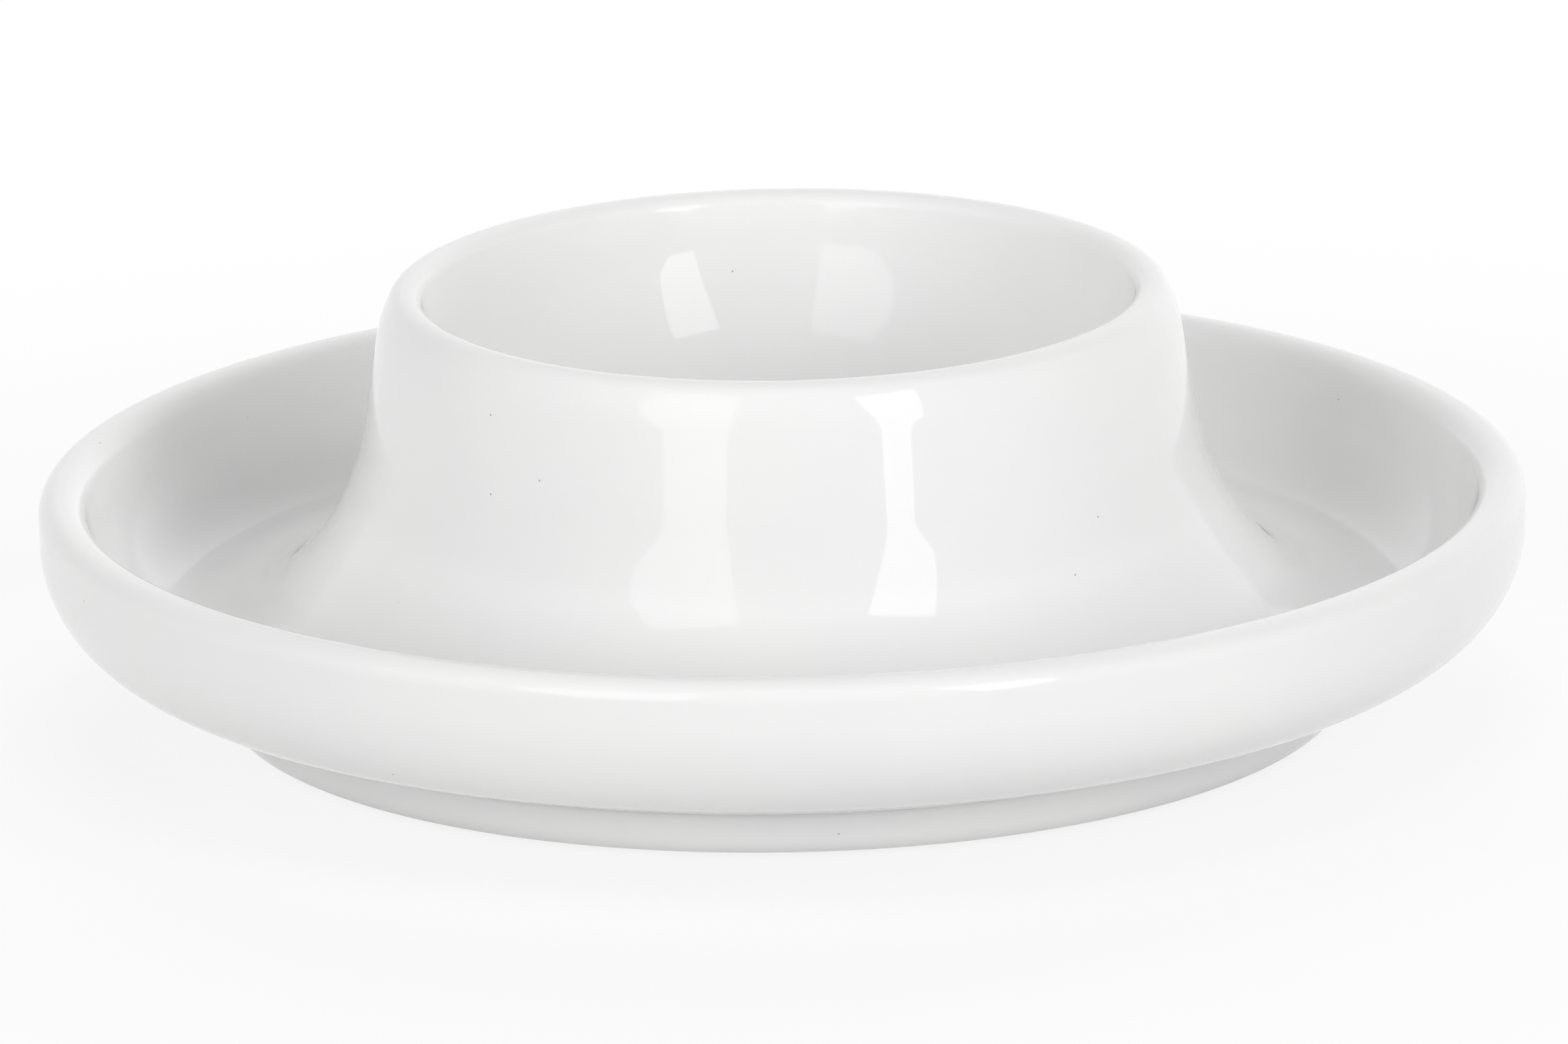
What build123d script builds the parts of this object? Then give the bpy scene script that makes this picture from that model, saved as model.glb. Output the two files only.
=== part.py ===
from build123d import *
from math import atan2, dist, pi, tan
import os

# Egg cup with a tray all round, turned about +Z.
# Lengths are in millimetres. The origin is the middle of the foot ring, on the surface it stands on.
# Heights are of the glazed surface above that surface, and diameters are across the glazed surface.

# Cup, whose wall spreads from the lip down to a bend and then flares out to the trough
cup_height = 28.65
mouth_diameter = 48.1
lip_width = 2.45
lip_inner_round = 1.05
lip_outer_round = 1.75
wall_spread = 2.45
wall_bend_height = 13.5
wall_bend_round = 18.75
flare_spread = 6.75

# Egg well
well_floor_height = 8.0
well_narrowing = 2.6
well_round = 20.3

# Trough between the flare and the rim
trough_floor_height = 6.35
trough_round = 7.1

# Dish, whose wall spreads from the trough up to its rolled rim
dish_diameter = 100.0
rim_height = 15.3
rim_width = 2.9
rim_inner_round = 1.6
rim_outer_round = 1.35
dish_wall_spread = 2.0
belly_height = 6.8
belly_round = 7.3

# Foot ring
foot_diameter = 76.6
foot_height = 3.0
foot_taper = 0.25
foot_ring_width = 4.2
foot_outer_round = 1.7
foot_inner_round = 0.9
crease_round = 0.6

# Wall over the hollow under the base, even below the flare, the trough and the well
wall_thickness = 3.4
hollow_round = 2.4

# Glaze, which the foot ring leaves bare where it stands
glaze_thickness = 0.3
bare_foot_height = 0.3

# Sections run this far past the turning axis before they are cut along it
overrun = 2.0
# The part of a straight that two rounds always leave between them
straight_share = 0.01


def turn_between(before, corner, after):
    """Angle, in radians, by which the outline turns at a corner."""
    arriving = atan2(corner[1] - before[1], corner[0] - before[0])
    leaving = atan2(after[1] - corner[1], after[0] - corner[0])
    return abs((leaving - arriving + pi) % (2 * pi) - pi)


def fitted_rounds(outline, rounds):
    """The rounds of an outline's inner corners, each no larger than the straights beside it allow."""
    turns = [turn_between(*corners) for corners in zip(outline, outline[1:], outline[2:])]
    reaches = [0.0] + [size * tan(turn / 2) for size, turn in zip(rounds, turns)] + [0.0]
    fits = []
    for (start, end), reach_start, reach_end in zip(zip(outline, outline[1:]), reaches, reaches[1:]):
        room = dist(start, end) * (1 - straight_share)
        fits.append(min(1.0, room / (reach_start + reach_end)))
    return [size * min(before, after) for size, before, after in zip(rounds, fits, fits[1:])]


# Radii and heights that follow from the sizes
mouth_radius = mouth_diameter / 2
lip_outer_radius = mouth_radius + lip_width
wall_bend_radius = lip_outer_radius + wall_spread
trough_inner_radius = wall_bend_radius + flare_spread
dish_radius = dish_diameter / 2
rim_inner_radius = dish_radius - rim_width
trough_outer_radius = rim_inner_radius - dish_wall_spread
foot_radius = foot_diameter / 2
foot_inner_radius = foot_radius - foot_ring_width
glazed_foot_level = -glaze_thickness

# Outline of the well, from the axis out to the mouth
well_outline = [
    (-overrun, well_floor_height),
    (mouth_radius - well_narrowing, well_floor_height),
    (mouth_radius, cup_height),
]

# Outline of the flare and the trough, from the lip out to the rim
trough_outline = [
    (lip_outer_radius, cup_height),
    (wall_bend_radius, wall_bend_height),
    (trough_inner_radius, trough_floor_height),
    (trough_outer_radius, trough_floor_height),
    (rim_inner_radius, rim_height),
]

# Outline of the glazed cup, from the well floor over the lip, down the flare, through the trough,
# over the rim, in under the dish and down the foot to the axis
cup_outline = well_outline + trough_outline + [
    (dish_radius, rim_height),
    (dish_radius, belly_height),
    (foot_radius, foot_height),
    (foot_radius - foot_taper, glazed_foot_level),
    (-overrun, glazed_foot_level),
]
trough_rounds = [wall_bend_round, trough_round, trough_round]
cup_rounds = [well_round, lip_inner_round, lip_outer_round] + trough_rounds + [
    rim_inner_round,
    rim_outer_round,
    belly_round,
    crease_round,
    foot_outer_round,
]

# The space in the well
with BuildSketch() as well_space:
    with BuildLine():
        FilletPolyline(*well_outline, radius=fitted_rounds(well_outline, [well_round]))
        Polyline(well_outline[-1], (-overrun, cup_height), well_outline[0])
    make_face()

# The space round the flare and in the trough
with BuildSketch() as trough_space:
    with BuildLine():
        FilletPolyline(*trough_outline, radius=fitted_rounds(trough_outline, trough_rounds))
        Polyline(trough_outline[-1], (rim_inner_radius, cup_height), trough_outline[0])
    make_face()

# The hollow under the base, inside the foot ring and an even wall away from both spaces. Going in and
# out again by the same amount rounds its corners.
with BuildSketch() as hollow_section:
    Rectangle(2 * foot_inner_radius, 2 * cup_height)
    offset(well_space.sketch_local, amount=wall_thickness, mode=Mode.SUBTRACT)
    offset(trough_space.sketch_local, amount=wall_thickness, mode=Mode.SUBTRACT)
    split(bisect_by=Plane.YZ.offset(-(overrun + hollow_round)))
    offset(amount=-hollow_round)
    offset(amount=hollow_round)

# Section of the glazed cup. The inner edge of its foot is rounded no further up than its wall is straight.
foot_wall = hollow_section.edges().filter_by(Axis.Y).sort_by(Axis.X)[-1]
foot_wall_top = foot_wall.vertices().sort_by(Axis.Y)[-1].Y
foot_wall_room = (foot_wall_top - glazed_foot_level) * (1 - straight_share)
with BuildSketch() as glazed_section:
    with BuildLine():
        FilletPolyline(*cup_outline, radius=fitted_rounds(cup_outline, cup_rounds))
        Line(cup_outline[-1], cup_outline[0])
    make_face()
    add(hollow_section.sketch_local, mode=Mode.SUBTRACT)
    foot_inner_edge = glazed_section.vertices().group_by(Axis.Y)[0].sort_by(Axis.X)[-2]
    fillet(foot_inner_edge, radius=min(foot_inner_round, foot_wall_room))

# Section of the fired clay under the glaze, from the axis outward
with BuildSketch() as clay_section:
    offset(glazed_section.sketch_local, amount=-glaze_thickness)
    split(bisect_by=Plane.YZ)

# Section of the glaze: the coat over the outside, and the coat inside the foot ring
with BuildSketch() as glaze_section:
    add(glazed_section.sketch_local)
    split(bisect_by=Plane.YZ)
    add(clay_section.sketch_local, mode=Mode.SUBTRACT)
    with Locations((0, bare_foot_height)):
        Rectangle(dish_diameter, cup_height, align=(Align.CENTER, Align.MAX), mode=Mode.SUBTRACT)

# The cup itself, one fired piece of porcelain that stands on its bare foot ring
with BuildPart() as porcelain_body:
    with BuildSketch(Plane.XZ):
        add(clay_section.sketch_local)
    revolve(axis=Axis.Z)
porcelain_body.part.label = "porcelain_body"

# The glaze of the well, lip, trough, rim and outside, down to the bare edge of the foot
with BuildPart() as outer_glaze:
    with BuildSketch(Plane.XZ):
        add(glaze_section.faces().sort_by(Axis.X)[-1])
    revolve(axis=Axis.Z)
outer_glaze.part.label = "outer_glaze"

# The glaze of the underside, inside the foot ring
with BuildPart() as underside_glaze:
    with BuildSketch(Plane.XZ):
        add(glaze_section.faces().sort_by(Axis.X)[0])
    revolve(axis=Axis.Z)
underside_glaze.part.label = "underside_glaze"

os.makedirs("parts", exist_ok=True)
for piece in (porcelain_body, outer_glaze, underside_glaze):
    export_step(piece.part, f"parts/{piece.part.label}.step")
    print(piece.part.label, "volume", round(piece.part.volume, 1), "mm3")
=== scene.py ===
from math import atan2, cos, dist, pi, radians, sin, tan

import bpy
from mathutils import Matrix, Vector


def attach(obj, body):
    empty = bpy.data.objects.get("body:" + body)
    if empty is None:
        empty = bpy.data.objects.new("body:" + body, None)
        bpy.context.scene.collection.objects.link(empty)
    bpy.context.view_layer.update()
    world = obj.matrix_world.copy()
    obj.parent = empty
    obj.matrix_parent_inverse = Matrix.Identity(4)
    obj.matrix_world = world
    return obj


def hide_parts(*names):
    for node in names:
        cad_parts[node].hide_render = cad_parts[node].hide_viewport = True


# A glazed porcelain egg cup with a tray all round, on a pale studio floor.
# Lengths are in metres and +Z is up. A direction is given by its azimuth, from -Y towards +X, and its
# elevation above the floor, both in degrees. The camera stands on the -Y side.

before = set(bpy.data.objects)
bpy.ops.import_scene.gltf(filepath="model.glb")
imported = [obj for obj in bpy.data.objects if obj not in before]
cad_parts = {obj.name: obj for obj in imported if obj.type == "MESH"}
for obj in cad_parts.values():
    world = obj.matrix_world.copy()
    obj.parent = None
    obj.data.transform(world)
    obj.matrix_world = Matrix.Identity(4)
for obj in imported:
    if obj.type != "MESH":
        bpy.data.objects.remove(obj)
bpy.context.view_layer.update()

# Sizes of the glazed surface in millimetres, as in the part's own sketch
millimetre = 0.001
cup_height = 28.65
mouth_radius = 24.05
lip_width = 2.45
lip_inner_round = 1.05
wall_spread = 2.45
wall_bend_height = 13.5
wall_bend_round = 18.75
flare_spread = 6.75
well_floor_height = 8.0
well_narrowing = 2.6
well_round = 20.3
trough_floor_height = 6.35
trough_round = 7.1
dish_radius = 50.0
rim_height = 15.3
rim_width = 2.9
rim_inner_round = 1.6
rim_outer_round = 1.35
dish_wall_spread = 2.0
belly_height = 6.8
belly_round = 7.3
foot_radius = 38.3
foot_height = 3.0
foot_taper = 0.25
foot_outer_round = 1.7
crease_round = 0.6
glaze_thickness = 0.3
bare_foot_height = 0.3
straight_share = 0.01

# The fluid glaze draws back from the lip's outer edge and leaves a soft shoulder, in millimetres
shoulder_height = 26.7
shoulder_slope = 0.5
shoulder_round = 7.0
lip_edge_round = 1.2

# Fineness of the turned glaze
arc_step = radians(4.0)
turning_steps = 320

# The photograph's camera
photo_width = 2355
sensor_width = 36.0
clip_start = 0.01
clip_end = 20.0
focal_length_pixels = 23114.0
camera_distance = 1.036
camera_elevation = 15.78
camera_roll = 1.0
camera_aim = Vector((0.0001, 0.0, 0.012))

# Lamps: azimuth, elevation, width, height, and the level that each gives to a surface that faces it,
# where 1 shows a white surface as white
lamp_target = Vector((0.0, 0.0, 0.015))
lamp_distance = 0.95
lamps = {
    "key_light": (34.0, 14.0, 0.30, 0.35, 0.31),
    "fill_light": (-28.0, 14.0, 0.40, 0.35, 0.28),
    "front_left_light": (-60.0, 22.0, 0.50, 0.50, 0.195),
    "right_side_light": (60.0, 35.0, 0.50, 0.50, 0.345),
    "left_side_light": (-90.0, 35.0, 0.50, 0.50, 0.185),
    "right_back_light": (150.0, 12.0, 0.50, 0.50, 0.56),
    "high_back_light": (180.0, 35.0, 0.50, 0.50, 0.415),
    "overhead_light": (0.0, 85.0, 0.50, 0.50, 0.22),
}

# Bright windows that the glaze mirrors: brightness, and the outline in azimuth and elevation
window_distance = 0.95
windows = {
    "key_window": (
        3.2,
        [(28.0, 1.0), (34.5, 1.0), (34.5, 3.2), (40.5, 12.0), (42.0, 30.0), (42.0, 36.0),
         (23.0, 35.5), (25.0, 22.0), (27.0, 11.0), (28.0, 3.5)],
    ),
    "fill_window": (
        2.2,
        [(-29.5, 1.0), (-15.5, 1.0), (-15.5, 4.0), (-14.0, 8.0), (-12.5, 38.0), (-37.5, 39.0),
         (-42.5, 28.0), (-40.0, 16.0), (-31.0, 4.0)],
    ),
}

# Surroundings and floor
backdrop_color = (1.0, 1.0, 1.0, 1.0)
floor_size = 3.0
floor_color = (0.80, 0.80, 0.80, 1.0)
# Share of the backdrop's white that the camera and the glaze see in the floor, within the shadow's reach of
# the cup's middle. It grows to the whole at the larger distance.
whitening_share = 0.84
shadow_reach = 0.065
white_beyond = 0.14

# Detail of the noise in the materials
smooth_detail = 1.0
plain_detail = 2.0
fine_detail = 4.0

# Glaze over white porcelain
glaze_color = (0.81, 0.81, 0.805, 1.0)
glaze_color_in_thick_spots = (0.79, 0.793, 0.79, 1.0)
glaze_roughness = 0.03
glaze_ior = 1.5
thick_spot_length = 0.022
thick_spot_range = (0.35, 0.65)
waviness_length = 0.011
waviness_height = 0.000012
ripple_length = 0.0005
ripple_height = 0.0000008
speck_spacing = 0.0016
speck_radius = 0.0001
speck_core_share = 0.4
speck_share = 0.08
speck_color = (0.38, 0.36, 0.33, 1.0)

# Bare porcelain of the standing ring
bare_color = (0.80, 0.785, 0.755, 1.0)
scuff_color = (0.52, 0.50, 0.47, 1.0)
bare_roughness = 0.62
grain_length = 0.0003
grain_height = 0.000012
scuff_length = 0.004
scuff_range = (0.56, 0.72)


def toward(azimuth, elevation):
    """Unit vector that points from the cup in a direction."""
    az = radians(azimuth)
    el = radians(elevation)
    return Vector((sin(az) * cos(el), -cos(az) * cos(el), sin(el)))


def facing(place, target):
    """Matrix of a lamp or camera that looks from a place at a target."""
    turn = (target - place).to_track_quat("-Z", "Y")
    return Matrix.Translation(place) @ turn.to_matrix().to_4x4()


def add_object(name, data):
    """A new object in the scene."""
    item = bpy.data.objects.new(name, data)
    bpy.context.scene.collection.objects.link(item)
    return item


def turn_between(before, corner, after):
    """Angle by which an outline turns at a corner, positive to the left."""
    arriving = atan2(corner[1] - before[1], corner[0] - before[0])
    leaving = atan2(after[1] - corner[1], after[0] - corner[0])
    return (leaving - arriving + pi) % (2 * pi) - pi


def fitted_rounds(outline, rounds):
    """The rounds of an outline's inner corners, each no larger than the straights beside it allow."""
    turns = [abs(turn_between(*corners)) for corners in zip(outline, outline[1:], outline[2:])]
    reaches = [0.0] + [size * tan(turn / 2) for size, turn in zip(rounds, turns)] + [0.0]
    fits = []
    for (start, end), reach_start, reach_end in zip(zip(outline, outline[1:]), reaches, reaches[1:]):
        room = dist(start, end) * (1 - straight_share)
        fits.append(min(1.0, room / (reach_start + reach_end)))
    return [size * min(before, after) for size, before, after in zip(rounds, fits, fits[1:])]


def rounded_outline(outline, rounds):
    """Points along an outline with rounded corners, each with its normal to the left of the way along."""
    places = []
    start = outline[0]
    sizes = fitted_rounds(outline, rounds)
    for before, corner, after, size in zip(outline, outline[1:], outline[2:], sizes):
        turn = turn_between(before, corner, after)
        heading = atan2(corner[1] - before[1], corner[0] - before[0])
        reach = size * tan(abs(turn) / 2)
        entry = (corner[0] - reach * cos(heading), corner[1] - reach * sin(heading))
        if not places:
            places.append((start, heading + pi / 2))
        side = 1 if turn > 0 else -1
        middle = (entry[0] - side * size * sin(heading), entry[1] + side * size * cos(heading))
        steps = max(2, round(abs(turn) / arc_step))
        for step in range(steps + 1):
            angle = heading + turn * step / steps
            point = (middle[0] + side * size * sin(angle), middle[1] - side * size * cos(angle))
            places.append((point, angle + pi / 2))
    heading = atan2(outline[-1][1] - outline[-2][1], outline[-1][0] - outline[-2][0])
    places.append((outline[-1], heading + pi / 2))
    return places


def cut_at_height(places, height):
    """The outline up to the point where it last comes down through a height."""
    for index in range(len(places) - 1, 0, -1):
        (above, normal), (below, _) = places[index - 1], places[index]
        if above[1] >= height > below[1]:
            share = (above[1] - height) / (above[1] - below[1])
            point = (above[0] + share * (below[0] - above[0]), height)
            return places[:index] + [(point, normal)]
    return places


def glaze_surface():
    """The outer face of the coat, from the middle of the well over lip, trough and rim to the bare foot."""
    lip_outer_radius = mouth_radius + lip_width
    wall_bend_radius = lip_outer_radius + wall_spread
    trough_inner_radius = wall_bend_radius + flare_spread
    rim_inner_radius = dish_radius - rim_width
    shoulder_drop = cup_height - shoulder_height
    shoulder_radius = lip_outer_radius + wall_spread * shoulder_drop / (cup_height - wall_bend_height)
    outline = [
        (0.0, well_floor_height),
        (mouth_radius - well_narrowing, well_floor_height),
        (mouth_radius, cup_height),
        (shoulder_radius - shoulder_slope * shoulder_drop, cup_height),
        (shoulder_radius, shoulder_height),
        (wall_bend_radius, wall_bend_height),
        (trough_inner_radius, trough_floor_height),
        (rim_inner_radius - dish_wall_spread, trough_floor_height),
        (rim_inner_radius, rim_height),
        (dish_radius, rim_height),
        (dish_radius, belly_height),
        (foot_radius, foot_height),
        (foot_radius - foot_taper, -glaze_thickness),
        (foot_radius / 2, -glaze_thickness),
    ]
    rounds = [
        well_round, lip_inner_round, lip_edge_round, shoulder_round, wall_bend_round, trough_round,
        trough_round, rim_inner_round, rim_outer_round, belly_round, crease_round, foot_outer_round,
    ]
    return cut_at_height(rounded_outline(outline, rounds), bare_foot_height)


def face_on_porcelain(surface):
    """The points of the coat's inner face, one glaze thickness behind its outer face."""
    points = [
        (r - glaze_thickness * cos(angle), z - glaze_thickness * sin(angle))
        for (r, z), angle in surface
    ]
    return points[:-1] + [(points[-1][0], bare_foot_height)]


def turned(section):
    """Vertices in metres and faces of a section turned about +Z. Its two ends lie on the axis."""
    vertices = [(0.0, 0.0, section[0][1] * millimetre), (0.0, 0.0, section[-1][1] * millimetre)]
    ring = section[1:-1]
    for step in range(turning_steps):
        angle = 2 * pi * step / turning_steps
        for r, z in ring:
            vertices.append((r * cos(angle) * millimetre, r * sin(angle) * millimetre, z * millimetre))
    faces = []
    for step in range(turning_steps):
        here = 2 + step * len(ring)
        there = 2 + (step + 1) % turning_steps * len(ring)
        faces.append((0, here, there))
        for index in range(len(ring) - 1):
            faces.append((here + index, here + index + 1, there + index + 1, there + index))
        faces.append((1, there + len(ring) - 1, here + len(ring) - 1))
    return vertices, faces


def make_glaze(material):
    """The outer coat of glaze, a closed skin turned about +Z."""
    surface = glaze_surface()
    section = [point for point, _ in surface] + face_on_porcelain(surface)[::-1]
    vertices, faces = turned(section)
    mesh = bpy.data.meshes.new("glaze_coat")
    mesh.from_pydata(vertices, [], faces)
    mesh.shade_smooth()
    # The two edges of the coat's end on the bare foot are sharp
    ring_size = len(section) - 2
    foot_edges = (len(surface) - 2, len(surface) - 1)
    sharp = mesh.attributes.new("sharp_edge", "BOOLEAN", "EDGE")
    for line in mesh.edges:
        first, second = ((corner - 2) % ring_size for corner in line.vertices)
        sharp.data[line.index].value = min(line.vertices) > 1 and first == second and first in foot_edges
    mesh.materials.append(material)
    coat = add_object("glaze_coat", mesh)
    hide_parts("outer_glaze")
    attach(coat, "root")


def make_camera():
    """The photograph's camera, rolled as it was."""
    data = bpy.data.cameras.new("photo_camera")
    data.sensor_width = sensor_width
    data.lens = focal_length_pixels / photo_width * sensor_width
    data.clip_start = clip_start
    data.clip_end = clip_end
    camera = add_object("photo_camera", data)
    place = camera_aim + camera_distance * toward(0.0, camera_elevation)
    roll = Matrix.Rotation(-radians(camera_roll), 4, "Z")
    camera.matrix_world = facing(place, camera_aim) @ roll
    bpy.context.scene.camera = camera


def make_lamp(name, azimuth, elevation, width, height, level):
    """A soft rectangular lamp. Only the windows show in the glaze, so the lamp itself isn't mirrored."""
    data = bpy.data.lights.new(name, "AREA")
    data.shape = "RECTANGLE"
    data.size = width
    data.size_y = height
    data.energy = level * pi * pi * lamp_distance ** 2
    lamp = add_object(name, data)
    lamp.visible_camera = False
    lamp.visible_glossy = False
    lamp.matrix_world = facing(toward(azimuth, elevation) * lamp_distance, lamp_target)


def make_window(name, brightness, outline):
    """A glowing panel that is seen only in the glaze."""
    corners = [toward(azimuth, elevation) * window_distance for azimuth, elevation in outline]
    mesh = bpy.data.meshes.new(name)
    mesh.from_pydata(corners, [], [list(range(len(corners)))])
    panel = add_object(name, mesh)
    panel.visible_camera = False
    panel.visible_diffuse = False
    panel.visible_shadow = False
    material = bpy.data.materials.new(name)
    material.use_nodes = True
    tree = material.node_tree
    tree.nodes.clear()
    glow = tree.nodes.new("ShaderNodeEmission")
    glow.inputs["Strength"].default_value = brightness
    output = tree.nodes.new("ShaderNodeOutputMaterial")
    tree.links.new(glow.outputs["Emission"], output.inputs["Surface"])
    mesh.materials.append(material)


def seen_directly(tree):
    """1 for rays from the camera, from gloss and through glass, which show the white backdrop."""
    path = tree.nodes.new("ShaderNodeLightPath")
    camera_or_gloss = tree.nodes.new("ShaderNodeMath")
    camera_or_gloss.operation = "MAXIMUM"
    tree.links.new(path.outputs["Is Camera Ray"], camera_or_gloss.inputs[0])
    tree.links.new(path.outputs["Is Glossy Ray"], camera_or_gloss.inputs[1])
    any_of_them = tree.nodes.new("ShaderNodeMath")
    any_of_them.operation = "MAXIMUM"
    tree.links.new(camera_or_gloss.outputs["Value"], any_of_them.inputs[0])
    tree.links.new(path.outputs["Is Transmission Ray"], any_of_them.inputs[1])
    return any_of_them.outputs["Value"]


def make_world():
    """A white backdrop that gives the cup no light of its own."""
    world = bpy.data.worlds.new("studio")
    world.use_nodes = True
    tree = world.node_tree
    tree.nodes.clear()
    white = tree.nodes.new("ShaderNodeBackground")
    white.inputs["Color"].default_value = backdrop_color
    tree.links.new(seen_directly(tree), white.inputs["Strength"])
    output = tree.nodes.new("ShaderNodeOutputWorld")
    tree.links.new(white.outputs["Background"], output.inputs["Surface"])
    bpy.context.scene.world = world


def make_floor():
    """Pale paper that keeps the cup's shadow and turns white with distance from the cup."""
    half = floor_size / 2
    mesh = bpy.data.meshes.new("floor")
    corners = [(-half, -half, 0), (half, -half, 0), (half, half, 0), (-half, half, 0)]
    mesh.from_pydata(corners, [], [(0, 1, 2, 3)])
    floor = add_object("floor", mesh)
    material = bpy.data.materials.new("pale_floor")
    material.use_nodes = True
    tree = material.node_tree
    tree.nodes.clear()
    paper = tree.nodes.new("ShaderNodeBsdfDiffuse")
    paper.inputs["Color"].default_value = floor_color
    white = tree.nodes.new("ShaderNodeEmission")
    white.inputs["Color"].default_value = backdrop_color
    place = tree.nodes.new("ShaderNodeTexCoord").outputs["Object"]
    distance = tree.nodes.new("ShaderNodeVectorMath")
    distance.operation = "LENGTH"
    tree.links.new(place, distance.inputs[0])
    whiteness = ramp(tree, distance.outputs["Value"], shadow_reach, white_beyond, whitening_share)
    whitening = tree.nodes.new("ShaderNodeMath")
    whitening.operation = "MULTIPLY"
    tree.links.new(seen_directly(tree), whitening.inputs[0])
    tree.links.new(whiteness, whitening.inputs[1])
    mix = tree.nodes.new("ShaderNodeMixShader")
    tree.links.new(whitening.outputs["Value"], mix.inputs["Fac"])
    tree.links.new(paper.outputs["BSDF"], mix.inputs[1])
    tree.links.new(white.outputs["Emission"], mix.inputs[2])
    output = tree.nodes.new("ShaderNodeOutputMaterial")
    tree.links.new(mix.outputs["Shader"], output.inputs["Surface"])
    mesh.materials.append(material)


def noise(tree, place, length, detail=plain_detail):
    """Noise whose bumps are about a given length apart."""
    node = tree.nodes.new("ShaderNodeTexNoise")
    node.inputs["Scale"].default_value = 1.0 / length
    node.inputs["Detail"].default_value = detail
    tree.links.new(place, node.inputs["Vector"])
    return node.outputs["Fac"]


def bump(tree, height, distance, before=None):
    """Bump of a given height in metres, on top of another one."""
    node = tree.nodes.new("ShaderNodeBump")
    node.inputs["Distance"].default_value = distance
    tree.links.new(height, node.inputs["Height"])
    if before:
        tree.links.new(before, node.inputs["Normal"])
    return node.outputs["Normal"]


def mix_colors(tree, share, first, second):
    """Mixes a fixed or linked first color with a fixed second one."""
    node = tree.nodes.new("ShaderNodeMix")
    node.data_type = "RGBA"
    tree.links.new(share, node.inputs["Factor"])
    if isinstance(first, tuple):
        node.inputs["A"].default_value = first
    else:
        tree.links.new(first, node.inputs["A"])
    node.inputs["B"].default_value = second
    return node.outputs["Result"]


def ramp(tree, value, low, high, least=0.0):
    """A least share below low, 1 above high, and in between smooth. Low may be the larger one."""
    node = tree.nodes.new("ShaderNodeMapRange")
    node.interpolation_type = "SMOOTHSTEP"
    node.inputs["From Min"].default_value = low
    node.inputs["From Max"].default_value = high
    node.inputs["To Min"].default_value = least
    tree.links.new(value, node.inputs["Value"])
    return node.outputs["Result"]


def new_material(name):
    """A new material, with its nodes, its shader and the place on the object."""
    material = bpy.data.materials.new(name)
    material.use_nodes = True
    tree = material.node_tree
    place = tree.nodes.new("ShaderNodeTexCoord").outputs["Object"]
    return material, tree, tree.nodes["Principled BSDF"], place


def glaze_material():
    """Clear glaze over white porcelain: mirror-bright, a little wavy, with a rare dark speck."""
    material, tree, shader, place = new_material("white_glaze")
    shader.inputs["Roughness"].default_value = glaze_roughness
    shader.inputs["IOR"].default_value = glaze_ior
    tone = ramp(tree, noise(tree, place, thick_spot_length), *thick_spot_range)
    color = mix_colors(tree, tone, glaze_color, glaze_color_in_thick_spots)
    specks = tree.nodes.new("ShaderNodeTexVoronoi")
    specks.inputs["Scale"].default_value = 1.0 / speck_spacing
    tree.links.new(place, specks.inputs["Vector"])
    radius = speck_radius / speck_spacing
    spot = ramp(tree, specks.outputs["Distance"], radius, radius * speck_core_share)
    pick = tree.nodes.new("ShaderNodeSeparateColor")
    tree.links.new(specks.outputs["Color"], pick.inputs["Color"])
    chosen = tree.nodes.new("ShaderNodeMath")
    chosen.operation = "LESS_THAN"
    chosen.inputs[1].default_value = speck_share
    tree.links.new(pick.outputs["Red"], chosen.inputs[0])
    speck = tree.nodes.new("ShaderNodeMath")
    speck.operation = "MULTIPLY"
    tree.links.new(spot, speck.inputs[0])
    tree.links.new(chosen.outputs["Value"], speck.inputs[1])
    color = mix_colors(tree, speck.outputs["Value"], color, speck_color)
    tree.links.new(color, shader.inputs["Base Color"])
    waves = bump(tree, noise(tree, place, waviness_length, smooth_detail), waviness_height)
    ripples = bump(tree, noise(tree, place, ripple_length, smooth_detail), ripple_height, waves)
    tree.links.new(ripples, shader.inputs["Normal"])
    return material


def bare_material():
    """Bare ground porcelain: matte, faintly warm and grainy, with grey scuffs where it has stood."""
    material, tree, shader, place = new_material("bare_porcelain")
    shader.inputs["Roughness"].default_value = bare_roughness
    scuffs = ramp(tree, noise(tree, place, scuff_length, fine_detail), *scuff_range)
    color = mix_colors(tree, scuffs, bare_color, scuff_color)
    tree.links.new(color, shader.inputs["Base Color"])
    grain = bump(tree, noise(tree, place, grain_length), grain_height)
    tree.links.new(grain, shader.inputs["Normal"])
    return material


def dress(node, material):
    """Gives a part of the cup its material."""
    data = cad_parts[node].data
    data.materials.clear()
    data.materials.append(material)


glaze = glaze_material()
make_glaze(glaze)
dress("underside_glaze", glaze)
dress("porcelain_body", bare_material())
make_floor()
make_world()
for name, settings in lamps.items():
    make_lamp(name, *settings)
for name, settings in windows.items():
    make_window(name, *settings)
make_camera()

bpy.context.scene.view_settings.view_transform = "Standard"
